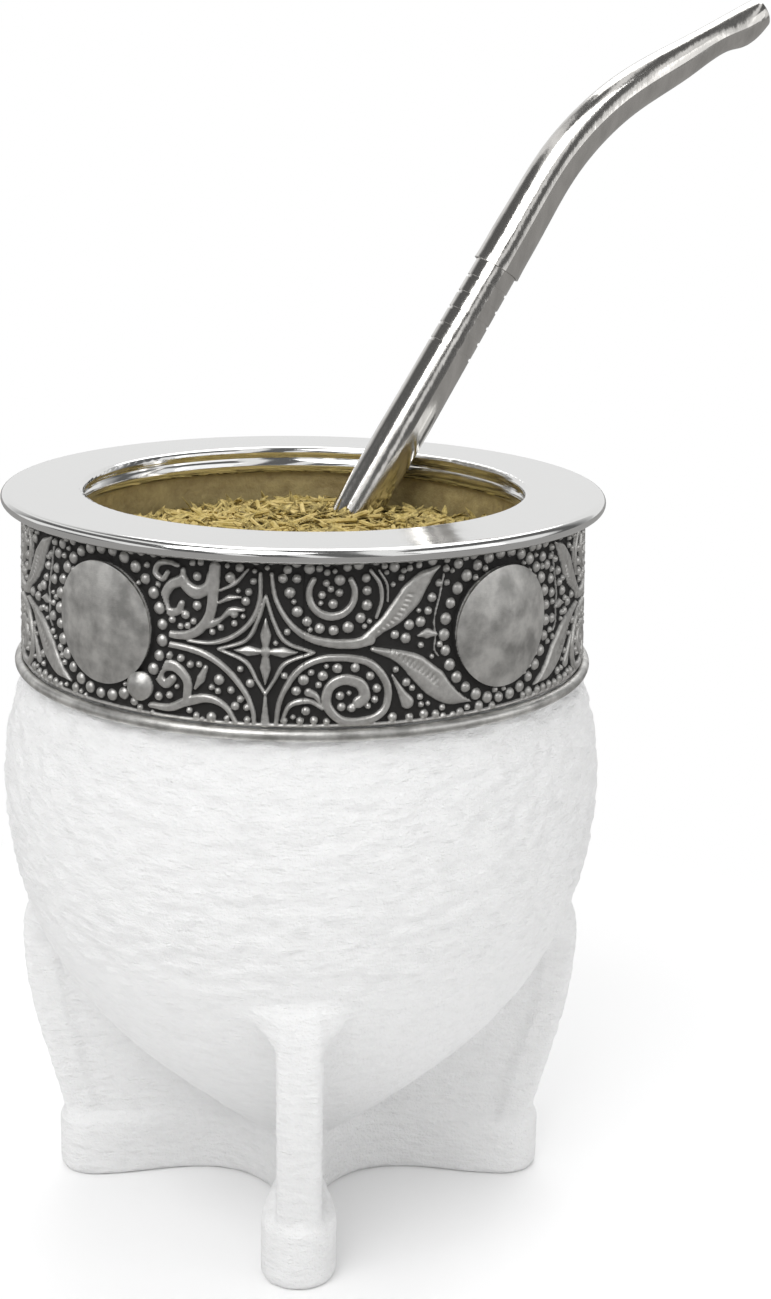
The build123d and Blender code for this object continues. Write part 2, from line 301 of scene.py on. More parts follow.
def rim_finish():
    """Polished steel with faint turning marks."""
    look = bpy.context.scene.mate_metal
    shade = Shade("polished_rim")
    smear = shade.noise(shade.place(), 0.12, 3.0)
    rough = 0.07 + smear.between(0.35, 0.75) * 0.07
    return shade.set(
        Base_Color=plain(look.rim), Metallic=1.0, Roughness=rough,
        Normal=shade.bump(shade.noise(shade.place(), 0.25, 2.0), 0.02),
    )


def straw_finish():
    """Polished steel, a little wavy and smeared along the tube, with painted reflection: darker streaks
    along the tube in its colour.
    """
    look = bpy.context.scene.mate_metal
    shade = Shade("straw_steel")
    smear = shade.noise(shade.place(stretch=(1.2, 1.2, 0.25)), 0.35, 4.0, 0.6)
    # Painted reflection: the darker streaks in the steel's colour stand for dark reflections along the
    # tube; the same smear noise sets the real roughness and bump.
    tint = shade.mix(smear.between(0.35, 0.7), plain(look.straw), (0.60, 0.585, 0.56))
    rough = 0.10 + smear.between(0.3, 0.8) * 0.10
    return shade.set(
        Base_Color=tint, Metallic=1.0, Roughness=rough, Normal=shade.bump(smear, 0.05)
    )


def shell_finish():
    """The bare inside of the gourd, stained by tea."""
    look = bpy.context.scene.mate_yerba
    shade = Shade("shell")
    stain = shade.noise(shade.place(), 0.35, 5.0, 0.65)
    tint = shade.mix(stain.between(0.3, 0.7), plain(look.shell), (0.46, 0.37, 0.17))
    return shade.set(
        Base_Color=tint, Roughness=0.6, Normal=shade.bump(stain, 0.5), Coat_Weight=stain * 0.3
    )


def leaf_finish(name, dark, light, scale):
    """Dry leaf or stalk, whose colour changes from patch to patch."""
    shade = Shade(name)
    patch = shade.noise(shade.place(), scale, 4.0, 0.7)
    fibre = shade.noise(shade.place(), 3.0, 3.0)
    tint = shade.mix(patch.between(0.36, 0.64), dark, light)
    return shade.set(
        Base_Color=tint, Roughness=0.72, Specular_IOR_Level=0.3, Normal=shade.bump(fibre, 0.12)
    )


# ---- places, from the frame ----

BAND_LOW, BAND_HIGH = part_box("band")
BAND_FOOT = BAND_LOW[2]
BAND_TOP = BAND_HIGH[2]
BAND_FOOT_RADIUS = BAND_HIGH[0]
BAND_LEAN = 0.7 * MM
BAND_TOP_RADIUS = BAND_FOOT_RADIUS - BAND_LEAN
YERBA_LOW, YERBA_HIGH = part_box("yerba")
STEM_LOW, STEM_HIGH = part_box("straw_stem")
STEM_DIAMETER = 8.2 * MM
STEM_CLEARANCE = 5.4 * MM
CORE_RADIUS = 36.2 * MM
CORE_DEPTH = 12 * MM
CORE_VOXEL = 0.55 * MM
BAND_BACK = 0.35 * MM
SKIN_TOP = BAND_FOOT + 1.2 * MM


def deselect():
    """Nothing selected, nothing active, and object mode."""
    if bpy.context.object and bpy.context.object.mode != "OBJECT":
        bpy.ops.object.mode_set(mode="OBJECT")
    bpy.ops.object.select_all(action="DESELECT")
    bpy.context.view_layer.objects.active = None


def pick(thing):
    """Only this object selected and active."""
    deselect()
    thing.select_set(True)
    bpy.context.view_layer.objects.active = thing


def apply_all(thing):
    """All of an object's modifiers applied, in order."""
    pick(thing)
    for modifier in list(thing.modifiers):
        bpy.ops.object.modifier_apply(modifier=modifier.name)


def settle(thing, name, material, slot, *nodes):
    """A finished piece: named, dressed, on the body, for the nodes that it stands for. The slot is not
    used.
    """
    pick(thing)
    bpy.ops.object.transform_apply(location=True, rotation=True, scale=True)
    thing.name = name
    thing.data.materials.clear()
    thing.data.materials.append(material)
    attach(thing, BODY)
    if nodes:
        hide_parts(*nodes)


def node_copy(name):
    """A merged copy of a CAD node's mesh, as a new object."""
    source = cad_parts[name]
    twin = bpy.data.objects.new(name + "_copy", source.data.copy())
    bpy.context.scene.collection.objects.link(twin)
    pick(twin)
    bpy.ops.object.mode_set(mode="EDIT")
    bpy.ops.mesh.select_all(action="SELECT")
    bpy.ops.mesh.remove_doubles(threshold=0.002 * MM)
    bpy.ops.object.mode_set(mode="OBJECT")
    return twin


def dress(name, material):
    """A CAD node that keeps its shape gets its finish."""
    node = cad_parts[name]
    node.data.materials.clear()
    node.data.materials.append(material)


# ---- leather ----

class MATE_OT_leather(bpy.types.Operator):
    """Make the leather cover and the leather foot as one piece, filled inside"""

    bl_idname = "mate.leather"
    bl_label = "Leather"

    def execute(self, context):
        look = context.scene.mate_leather
        skin = node_copy("leather_cover")
        foot = node_copy("leg_base")
        shell = node_copy("gourd_shell")
        deselect()
        for thing in (skin, foot, shell):
            thing.select_set(True)
        context.view_layer.objects.active = skin
        bpy.ops.object.join()
        skin = context.view_layer.objects.active
        pick(skin)
        bpy.ops.mesh.primitive_cylinder_add(
            vertices=64, radius=43.0 * MM, depth=60 * MM, location=(0, 0, 95 * MM)
        )
        plug = context.view_layer.objects.active
        bpy.ops.mesh.primitive_cone_add(
            vertices=64, radius1=18 * MM, radius2=42 * MM, depth=46 * MM, location=(0, 0, 42 * MM)
        )
        cone = context.view_layer.objects.active
        deselect()
        for thing in (skin, plug, cone):
            thing.select_set(True)
        context.view_layer.objects.active = skin
        bpy.ops.object.join()
        pick(skin)
        remesh = skin.modifiers.new("voxels", "REMESH")
        remesh.mode = "VOXEL"
        remesh.voxel_size = look.voxel
        smooth = skin.modifiers.new("soften", "SMOOTH")
        smooth.factor = 0.5
        smooth.iterations = 3
        apply_all(skin)
        bpy.ops.object.mode_set(mode="EDIT")
        bpy.ops.mesh.select_all(action="SELECT")
        bpy.ops.mesh.bisect(
            plane_co=(0, 0, SKIN_TOP), plane_no=(0, 0, 1), use_fill=True, clear_outer=True
        )
        bpy.ops.object.mode_set(mode="OBJECT")
        wrinkle_leather(skin, look.grain)
        bpy.ops.object.shade_smooth()
        settle(skin, "leather_skin", leather_finish(), "white_leather", "leather_cover", "leg_base")
        return {"FINISHED"}


def soft_noise(points, seed, waves, shortest, longest):
    """Smooth noise of about -1 to 1 at each point, from randomly turned waves of mixed lengths."""
    draw = np.random.default_rng(seed)
    total = np.zeros(len(points))
    for _ in range(waves):
        way = draw.normal(size=3)
        way /= np.linalg.norm(way)
        wave = np.exp(draw.uniform(np.log(shortest), np.log(longest)))
        total += np.sin(points @ way * (2 * pi / wave) + draw.uniform(0, 2 * pi))
    return total / np.sqrt(waves)


def coordinates(thing):
    """A mesh's points as an array, in metres."""
    flat = np.empty(3 * len(thing.data.vertices))
    thing.data.vertices.foreach_get("co", flat)
    return flat.reshape(-1, 3)


def set_coordinates(thing, points):
    """Move a mesh's points."""
    thing.data.vertices.foreach_set("co", points.ravel())
    thing.data.update()


def wrinkle_leather(skin, depth):
    """Shallow wrinkles, wider than they are tall, pressed into the skin along its normals."""
    points = coordinates(skin)
    normals = np.empty(3 * len(points))
    skin.data.vertices.foreach_get("normal", normals)
    normals = normals.reshape(-1, 3)
    squashed = points / MM * np.array([0.55, 0.55, 1.6])
    rough = soft_noise(squashed, 3, 90, 1.8, 5.5)
    on_foot = points[:, 2] < 10.8 * MM
    calm = np.where(on_foot, 0.15, 1.0)
    radius = np.hypot(points[:, 0], points[:, 1])
    slope = np.clip((points[:, 2] / MM - 45) / 10, 0.35, 1.0)
    press = -depth * 0.5 * (1 + np.clip(rough, -1, 1)) * calm * slope
    press[points[:, 2] < 0.4 * MM] = 0
    press[radius < 1 * MM] = 0
    set_coordinates(skin, points + normals * press[:, None])


# ---- band ----

class Chaser:
    """A sheet of metal laid flat, in millimetres along the band and above its foot, and chased."""

    def __init__(self, turn_length, height, step):
        self.along = int(turn_length / step)
        self.up = int(height / step)
        self.step_s = turn_length / self.along
        self.step_z = height / self.up
        self.turn_length = turn_length
        self.sheet = np.zeros((self.along, self.up + 1))

    def press(self, s, z, reach, shape, dig=False):
        """Raise the sheet to a round shape of a distance, or dig it down."""
        columns = np.arange(int((s - reach) / self.step_s), int((s + reach) / self.step_s) + 2)
        low = max(0, int((z - reach) / self.step_z))
        high = min(self.up + 1, int((z + reach) / self.step_z) + 2)
        if high <= low:
            return
        rows = np.arange(low, high)
        away = np.hypot((columns * self.step_s - s)[:, None], (rows * self.step_z - z)[None, :])
        patch = (columns % self.along)[:, None], rows[None, :]
        if dig:
            self.sheet[patch] -= shape(away)
        else:
            self.sheet[patch] = np.maximum(self.sheet[patch], shape(away))

    def bead(self, s, z, radius, height=1.0):
        """A round bead."""
        self.press(s, z, radius, lambda d: height * np.sqrt(np.clip(1 - (d / radius) ** 2, 0, 1)))

    def disc(self, s, z, radius, height=1.0, edge=0.35):
        """A flat round pad with a rounded edge."""
        self.press(s, z, radius, lambda d: height * rounded((radius - d) / edge))

    def stroke(self, points, widths, height=0.9, edge=0.34):
        """A raised line through points, with half-widths that change evenly along it."""
        path = smooth_path(points, 0.5 * self.step_s)
        shares = np.linspace(0, 1, len(path))
        halves = np.interp(shares, np.linspace(0, 1, len(widths)), widths)
        for (s, z), half in zip(path, halves):
            soft = min(edge, 0.9 * half)
            self.press(s, z, half, lambda d: height * rounded((half - d) / soft))

    def leaf(self, points, widths, rib):
        """A broad leaf with a stitched rib along a second line of points."""
        self.stroke(points, widths, 0.85, 0.8)
        path = smooth_path(rib, 0.25)
        for number, (s, z) in enumerate(path):
            self.press(s, z, 0.2, lambda d: 0.1 * rounded((0.2 - d) / 0.2), dig=True)
            if number % 3 == 0 and number + 1 < len(path):
                ahead = path[number + 1] - path[number]
                side = np.array([-ahead[1], ahead[0]]) / np.hypot(*ahead)
                for reach in (0.25, 0.45, 0.65, 0.85):
                    spot = path[number] + side * reach - ahead * reach
                    self.press(*spot, 0.22, lambda d: 0.2 * rounded((0.22 - d) / 0.2), dig=True)


def rounded(share):
    """A ramp from 0 to 1 that levels off smoothly at the top."""
    share = np.clip(share, 0, 1)
    return share * (2 - share)


def smooth_path(points, step):
    """Evenly spaced points on a Catmull-Rom curve through the given points."""
    points = np.array(points, float)
    ends = np.vstack([2 * points[0] - points[1], points, 2 * points[-1] - points[-2]])
    path = []
    for before, start, end, after in zip(ends, ends[1:], ends[2:], ends[3:]):
        count = max(2, int(np.linalg.norm(end - start) / step))
        t = np.linspace(0, 1, count, endpoint=False)[:, None]
        path.append(
            0.5 * (2 * start + (end - before) * t
                   + (2 * before - 5 * start + 4 * end - after) * t**2
                   + (3 * start - before - 3 * end + after) * t**3)
        )
    path.append(points[-1:])
    return np.vstack(path)


def moved(points, s, side):
    """Points measured from a star's middle, set beside that star, to its right or its left."""
    return [(s + side * x, z) for x, z in points]


def chase_star(sheet, s):
    """A four-pointed star with hollow sides, a four-petalled flower in it and a bead in that."""
    middle = 11.1
    for side in (-1, 1):
        upper = [(0, 19.1), (1.2, 15.4), (2.9, 12.6), (6.9, middle)]
        lower = [(0, 4.9), (1.3, 7.0), (2.9, 9.5), (6.9, middle)]
        sheet.stroke(moved(upper, s, side), (0.3, 0.42, 0.3))
        sheet.stroke(moved(lower, s, side), (0.3, 0.42, 0.3))
        petal = [(0.5, middle), (2.2, middle), (4.5, middle)]
        sheet.stroke(moved(petal, s, side), (0.4, 1.0, 0.12), 0.75, 0.9)
        sheet.stroke(moved(petal, s, side), (0.1, 0.16, 0.08), 0.95, 0.1)
    for tip in (15.8, 6.3):
        sheet.stroke([(s, middle), (s, 0.5 * (middle + tip)), (s, tip)], (0.4, 1.0, 0.12), 0.75, 0.9)
        sheet.stroke([(s, middle), (s, tip)], (0.12, 0.06), 0.95, 0.1)
    sheet.bead(s, middle, 0.85)
    sheet.stroke([(s, 4.4), (s, 0.4)], (0.35, 0.8), 0.6, 0.4)


def chase_long_side(sheet, s, side):
    """The long side of a star: a ring scroll over a spiral, then two leaves and beads."""
    def put(points):
        return moved(points, s, side)

    sheet.stroke(put([(0.8, 22.3), (1.4, 18.8), (3.2, 15.6), (5.7, 13.5), (9, 12.5), (12.6, 12.3),
                      (15, 12.8)]), (0.35, 0.45, 0.7, 0.9))
    sheet.stroke(put([(1.6, 0.8), (2.0, 3.6), (3.1, 6.2), (5.2, 8.9), (9, 10.3), (14.6, 9.6),
                      (17.5, 6.4), (17.5, 3.0), (15.4, 1.2), (11.3, 1.0), (8.9, 3.3), (9.2, 6.0),
                      (11.3, 7.1), (13.6, 6.4), (14.3, 4.6), (13.4, 3.7)]),
                 (0.4, 0.55, 0.6, 0.65, 0.65, 0.7, 0.85, 0.95))
    ring = [(9.45 + 3.3 * cos(turn), 19.6 + 3.3 * sin(turn)) for turn in np.linspace(2.5, 6.9, 14)]
    sheet.stroke(put(ring), (0.5, 0.68, 0.5))
    sheet.stroke(put([(15, 22.8), (16.4, 20.8), (16.7, 18.4), (15.9, 16.0)]), (0.3, 0.4, 0.3))
    sheet.stroke(put([(16.2, 22.8), (17.5, 20.6), (17.6, 18.2)]), (0.2, 0.25, 0.2), 0.7)
    sheet.leaf(
        put([(14.2, 12.7), (15.6, 13.8), (18.6, 16.1), (20.9, 18.6), (23.0, 21.0), (25.6, 22.8)]),
        (0.9, 1.1, 1.7, 2.0, 1.4, 0.15),
        put([(16.9, 13.7), (18.8, 15.1), (20.4, 17.0), (21.6, 19.2)]),
    )
    sheet.leaf(
        put([(15.4, 11.4), (18.9, 10.3), (21.6, 8.8), (24.4, 6.3), (27.6, 3.6), (31.6, 2.1)]),
        (0.4, 1.0, 1.9, 2.2, 1.5, 0.15),
        put([(17.9, 10.3), (20.8, 8.8), (23.3, 7.1), (25.3, 5.3)]),
    )
    sheet.stroke(put([(18.4, 7.4), (19.6, 5.2), (20.8, 3.2)]), (0.2, 0.6, 1.15), 0.75, 0.7)
    sheet.stroke(put([(22.3, 12.9), (23.6, 13.1), (25.3, 12.9)]), (0.2, 0.9, 0.35), 0.75, 0.6)
    sheet.stroke(put([(26.4, 21.5), (25.7, 18.3), (24.9, 15.2), (25.1, 12.6), (25.0, 10.6),
                      (26.0, 9.3)]), (0.2, 0.2), 0.6, 0.2)
    sheet.stroke(put([(2.4, 1.0), (3.6, 3.4), (6.2, 4.0), (8.2, 2.9)]), (0.3, 0.55, 0.3))
    sheet.stroke(put([(6.2, 5.3), (7.3, 4.7), (8.0, 3.2)]), (0.75, 0.5, 0.12), 0.8, 0.5)
    beads = [(2.4, 21.7, 0.75), (4.4, 21.7, 0.7), (3.4, 19.7, 0.85), (4.5, 17.0, 0.85),
             (5.9, 15.6, 0.75), (7.7, 14.6, 0.8), (9.7, 14.3, 0.8), (11.8, 14.7, 0.9),
             (13.6, 16.0, 0.8), (14.5, 17.8, 0.85), (14.5, 19.9, 0.75), (8.0, 19.4, 0.62),
             (10.5, 19.7, 0.62), (8.6, 21.1, 0.55), (9.6, 18.1, 0.75), (8.2, 7.7, 0.8),
             (10.3, 8.8, 0.8), (12.9, 8.8, 0.75), (15.1, 7.5, 0.7), (16.1, 5.6, 0.7),
             (15.8, 4.0, 0.6), (12.4, 2.9, 0.7), (14.8, 3.1, 0.5), (4.4, 5.5, 0.75),
             (5.0, 1.1, 0.6), (7.0, 1.2, 0.65), (8.8, 1.0, 0.55), (2.8, 1.1, 0.5),
             (20.4, 12.7, 0.85), (22.8, 11.5, 0.5), (22.7, 14.9, 0.85), (23.9, 16.4, 0.65),
             (24.5, 18.3, 0.75), (25.6, 20.3, 0.6), (26.8, 22.3, 0.6), (17.4, 22.4, 0.4),
             (20.0, 22.5, 0.45), (22.9, 2.7, 0.5), (18.5, 1.2, 0.75), (21.1, 1.0, 0.65),
             (23.4, 1.2, 0.75), (25.3, 1.0, 0.65)]
    for x, z, radius in beads:
        sheet.bead(s + side * x, z, radius)


def chase_short_side(sheet, s, side):
    """The short side of a star: a wave under a curl, and a cup with a bead over a long scroll."""
    def put(points):
        return moved(points, s, side)

    sheet.stroke(put([(0.8, 22.3), (0.9, 18.4), (2.2, 15.3), (4.7, 13.1), (7.9, 11.9), (11.5, 11.9)]),
                 (0.35, 0.45, 0.45, 0.3))
    sheet.stroke(put([(17.5, 13.0), (13.2, 12.5), (10.3, 13.3), (8.3, 15.8), (7.7, 19.4), (7.5, 22.8)]),
                 (0.45, 0.75, 0.85, 0.95))
    sheet.stroke(put([(17.5, 10.8), (14.1, 11.0), (9.4, 10.3), (5.8, 8.3), (3.0, 5.1), (1.8, 2.4),
                      (1.6, 0.8)]), (0.5, 0.6, 0.55, 0.4))
    sheet.stroke(put([(12.4, 22.0), (12.2, 20.2), (10.4, 19.0), (8.6, 19.9), (8.2, 21.8)]),
                 (0.5, 1.0, 1.15, 0.9, 0.6), 0.8, 0.6)
    sheet.stroke(put([(12.4, 20.6), (14.4, 19.6), (15.4, 17.6), (14.7, 15.9), (13.2, 16.0),
                      (12.6, 17.2)]), (0.9, 0.8, 0.75, 0.7, 0.55))
    sheet.stroke(put([(13.3, 22.6), (14.6, 22.9), (16.3, 22.6), (16.9, 21.2), (15.7, 20.4),
                      (14.9, 21.4)]), (0.4, 0.5, 0.5, 0.45))
    sheet.stroke(put([(17.6, 1.6), (14.4, 1.7), (11.7, 2.9), (8.5, 3.7), (5.9, 2.8), (4.3, 0.6)]),
                 (0.5, 0.7, 0.8, 0.6, 0.4))
    sheet.stroke(put([(11.7, 3.3), (11.7, 6.0), (13.5, 7.8), (15.5, 7.6), (16.2, 6.2), (15.1, 5.1),
                      (14.0, 6.0)]), (0.7, 0.75, 0.9, 0.8, 0.7))
    sheet.stroke(put([(10.4, 5.0), (9.5, 6.6), (8.8, 8.2)]), (0.3, 0.8, 0.45), 0.75, 0.6)
    sheet.stroke(put([(6.8, 17.8), (5.3, 18.6), (3.7, 18.8)]), (0.25, 0.5, 0.2))
    sheet.stroke(put([(6.6, 15.4), (5.0, 16.8), (3.2, 17.0)]), (0.3, 0.6, 0.3))
    sheet.stroke(put([(10.0, 13.7), (7.6, 14.8), (5.8, 16.0)]), (0.3, 0.6, 0.3))
    sheet.stroke(put([(6.6, 19.6), (4.4, 20.8), (2.6, 22.8)]), (0.25, 0.4, 0.2))
    beads = [(5.2, 21.5, 0.85), (2.5, 19.6, 0.6), (10.2, 21.3, 0.72), (10.2, 17.1, 0.75),
             (12.0, 15.6, 0.7), (14.1, 14.7, 0.6), (16.6, 15.2, 0.85), (17.6, 17.6, 0.8),
             (18.6, 19.5, 0.95), (16.6, 19.4, 0.6), (18.4, 22.1, 0.5), (17.2, 8.5, 0.7),
             (14.6, 9.4, 0.65), (12.7, 9.2, 0.65), (11.2, 8.4, 0.6), (14.5, 3.5, 0.6),
             (16.3, 3.1, 0.7), (17.7, 6.7, 0.5), (6.8, 6.6, 0.85), (7.9, 5.4, 0.5),
             (5.0, 5.2, 0.6), (3.6, 4.0, 0.6), (2.7, 2.8, 0.55), (7.9, 1.0, 0.8),
             (5.6, 1.0, 0.5), (10.2, 1.0, 0.55), (2.6, 1.0, 0.55), (4.6, 16.3, 0.65)]
    for x, z, radius in beads:
        sheet.bead(s + side * x, z, radius)


def chase_band(step, radius, height, boss_angles, small_angles, boss_z, small_z):
    """The whole band's relief, from 0 at the ground to 1 at the top."""
    turn = 2 * pi * radius / MM
    sheet = Chaser(turn, height / MM, step / MM)
    half = turn / 2
    front_star = -5.45
    for panel in (0, 1):
        star = front_star + panel * half
        chase_star(sheet, star)
        chase_long_side(sheet, star, 1)
        chase_short_side(sheet, star, -1)
        side_star = (0.5 + panel) * half
        chase_star(sheet, side_star)
        chase_long_side(sheet, side_star, 1)
        chase_long_side(sheet, side_star, -1)
    boss_places = [(angle + pi / 2) / (2 * pi) * turn for angle in boss_angles]
    for s in boss_places:
        clear_disc(sheet, s, boss_z, 12.1)
        beads = 29
        for number in range(beads):
            way = 2 * pi * (number + 0.5) / beads
            sheet.bead(s + 10.85 * cos(way), boss_z + 10.85 * sin(way), 0.98 if number % 3 else 0.88)
        sheet.disc(s, boss_z, 8.95, 1.0, 0.2)
    for angle in small_angles:
        s = (angle + pi / 2) / (2 * pi) * turn
        clear_disc(sheet, s, small_z, 2.5)
        sheet.disc(s, small_z, 2.1, 1.0, 0.2)
    fill_with_beads(sheet)
    for z, half_width in ((0.35, 0.3), (height / MM - 0.4, 0.4)):
        row = np.abs(np.arange(sheet.up + 1) * sheet.step_z - z)
        sheet.sheet = np.maximum(sheet.sheet, 0.7 * rounded((half_width - row) / 0.2)[None, :])
    return sheet


def fill_with_beads(sheet):
    """Beads scattered at random in the gaps that are left, the biggest first."""
    draw = np.random.default_rng(8)
    for radius in (0.85, 0.7, 0.55, 0.42):
        reach = int((radius + 0.16) / sheet.step_z)
        offsets = np.arange(-reach, reach + 1)
        disc = np.hypot(offsets[:, None], offsets[None, :]) <= reach
        for _ in range(4000):
            column = draw.integers(sheet.along)
            row = draw.integers(reach, sheet.up - reach)
            patch = sheet.sheet[np.ix_((column + offsets) % sheet.along, row + offsets)]
            if patch[disc].max() < 0.06:
                sheet.bead(column * sheet.step_s, row * sheet.step_z, radius, 0.9)


def clear_disc(sheet, s, z, radius):
    """The ground cleared again inside a circle."""
    sheet.press(s, z, radius, lambda d: np.where(d < radius, 2.0, 0.0), dig=True)
    sheet.sheet = np.clip(sheet.sheet, 0, None)


def band_quarter(name, sheet, first, last, relief, ground_low, ground_high):
    """A closed piece of the band between two columns of the sheet, from a folded grid."""
    count = last - first + 1
    rows = sheet.up + 1
    deselect()
    bpy.ops.mesh.primitive_grid_add(x_subdivisions=count + 1, y_subdivisions=rows + 1, size=1)
    piece = bpy.context.view_layer.objects.active
    column = np.clip(np.arange(count + 2) - 1, 0, count - 1)
    row = np.clip(np.arange(rows + 2) - 1, 0, rows - 1)
    heights = sheet.sheet[(first + column) % sheet.along][:, row] * relief
    share = row / (rows - 1)
    ground = (ground_low + share * (ground_high - ground_low))[None, :] + heights
    folded = np.zeros((count + 2, rows + 2), bool)
    folded[[0, -1], :] = True
    folded[:, [0, -1]] = True
    back = (ground_low + share * (ground_high - ground_low))[None, :] - BAND_BACK
    radius = np.where(folded, back, ground)
    angle = -pi / 2 + 2 * pi * (first + column) / sheet.along
    points = np.empty((rows + 2, count + 2, 3))
    points[..., 0] = (radius * np.cos(angle)[:, None]).T
    points[..., 1] = (radius * np.sin(angle)[:, None]).T
    points[..., 2] = (BAND_FOOT + share * (BAND_TOP - BAND_FOOT))[:, None]
    set_coordinates(piece, points.reshape(-1, 3))
    close_back(piece, count + 2, rows + 2)
    bpy.ops.object.shade_smooth()
    piece.name = name
    return piece


def close_back(piece, across, up):
    """The open back of a folded grid closed by upright strips, and its normals set outwards."""
    shape = bmesh.new()
    shape.from_mesh(piece.data)
    shape.verts.ensure_lookup_table()
    point = [[shape.verts[j * across + i] for i in range(across)] for j in range(up)]
    for i in range(1, across - 2):
        shape.faces.new((point[0][i], point[0][i + 1], point[-1][i + 1], point[-1][i]))
    left = [point[j][0] for j in range(up)]
    shape.faces.new([*left, point[-1][1], point[0][1]])
    right = [point[j][-1] for j in range(up)]
    shape.faces.new([*right, point[-1][-2], point[0][-2]])
    bmesh.ops.recalc_face_normals(shape, faces=shape.faces[:])
    shape.to_mesh(piece.data)
    shape.free()


def heading(node):
    """The direction of a node's middle about the axis."""
    low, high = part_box(node)
    return atan2(low[1] + high[1], low[0] + high[0])


class MATE_OT_band(bpy.types.Operator):
    """Chase the band in four pieces and finish its bosses and wire"""

    bl_idname = "mate.band"
    bl_label = "Band"

    def execute(self, context):
        look = context.scene.mate_band
        big = [f"boss_{number}" for number in (1, 2, 3, 4)]
        small = [f"small_boss_{number}" for number in (1, 2)]
        boss_low, boss_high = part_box(big[0])
        small_low, small_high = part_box(small[0])
        sheet = chase_band(
            look.step, 0.5 * (BAND_FOOT_RADIUS + BAND_TOP_RADIUS), BAND_TOP - BAND_FOOT,
            [heading(node) for node in big], [heading(node) for node in small],
            (0.5 * (boss_low[2] + boss_high[2]) - BAND_FOOT) / MM,
            (0.5 * (small_low[2] + small_high[2]) - BAND_FOOT) / MM,
        )
        finish = band_finish()
        quarters = 4
        for number in range(quarters):
            first = number * sheet.along // quarters
            last = (number + 1) * sheet.along // quarters
            piece = band_quarter(
                f"band_relief_{number + 1}", sheet, first, last, look.relief,
                BAND_FOOT_RADIUS - look.relief, BAND_TOP_RADIUS - look.relief,
            )
            settle(piece, piece.name, finish, "antique_silver", "band")
        bosses = boss_finish()
        for node in big + small + ["band_wire"]:
            dress(node, bosses)
        return {"FINISHED"}


# ---- rim and straw ----

class MATE_OT_metal(bpy.types.Operator):
    """Polish the rim and the straw"""

    bl_idname = "mate.metal"
    bl_label = "Rim and straw"

    def execute(self, context):
        dress("rim", rim_finish())
        steel = straw_finish()
        dress("straw_stem", steel)
        dress("mouthpiece", steel)
        dress("gourd_shell", shell_finish())
        return {"FINISHED"}


# ---- yerba ----

def scatter(name, template, faces, spots, sizes, turns):
    """Many copies of one small shape joined in one mesh, each at its own place, size and turn."""
    count = len(spots)
    points = np.einsum("nij,nkj->nki", turns, template[None] * sizes[:, None, :]) + spots[:, None, :]
    offsets = (np.arange(count) * len(template))[:, None, None]
    all_faces = (np.array(faces)[None] + offsets).reshape(-1, len(faces[0]))
    mesh = bpy.data.meshes.new(name)
    mesh.from_pydata(points.reshape(-1, 3).tolist(), [], all_faces.tolist())
    mesh.update()
    piece = bpy.data.objects.new(name, mesh)
    bpy.context.scene.collection.objects.link(piece)
    return piece


def turns_of(draw, count, tilt):
    """Random rotations: any way round, and tipped by up to about tilt radians."""
    around = draw.uniform(0, 2 * pi, count)
    tip = draw.normal(0, tilt, count)
    roll = draw.uniform(-tilt, tilt, count) * 1.5
    made = np.empty((count, 3, 3))
    for number in range(count):
        made[number] = np.array(
            Matrix.Rotation(around[number], 3, "Z")
            @ Matrix.Rotation(tip[number], 3, "Y")
            @ Matrix.Rotation(roll[number], 3, "X")
        )
    return made


def yerba_level(x, y):
    """The height of the heap's top at a place, in metres."""
    low, high = YERBA_LOW[2], YERBA_HIGH[2]
    points = np.stack([x, y, np.zeros_like(x)], -1) / MM
    lumps = soft_noise(points, 11, 14, 9.0, 30.0) * 0.35 + soft_noise(points, 12, 30, 2.0, 6.0) * 0.22
    out = np.hypot(x, y) / (35 * MM)
    return high - 1.1 * MM - 1.2 * MM * out**2 + lumps * MM


def heap_spots(draw, count, reach):
    """Places over the heap that keep clear of the straw."""
    out = reach * np.sqrt(draw.uniform(0, 1, count))
    way = draw.uniform(0, 2 * pi, count)
    x, y = out * np.cos(way), out * np.sin(way)
    stem_x, stem_y = stem_at(YERBA_HIGH[2])
    clear = np.hypot(x - stem_x, y - stem_y) > STEM_CLEARANCE
    return x[clear], y[clear]


def stem_at(z):
    """Where the straw's axis is at a height."""
    half = 0.5 * STEM_DIAMETER
    low = Vector((STEM_LOW[0] + half, STEM_LOW[1] + half, STEM_LOW[2]))
    high = Vector((STEM_HIGH[0] - half, STEM_HIGH[1] - half, STEM_HIGH[2]))
    share = (z - low.z) / (high.z - low.z)
    spot = low.lerp(high, share)
    return spot.x, spot.y


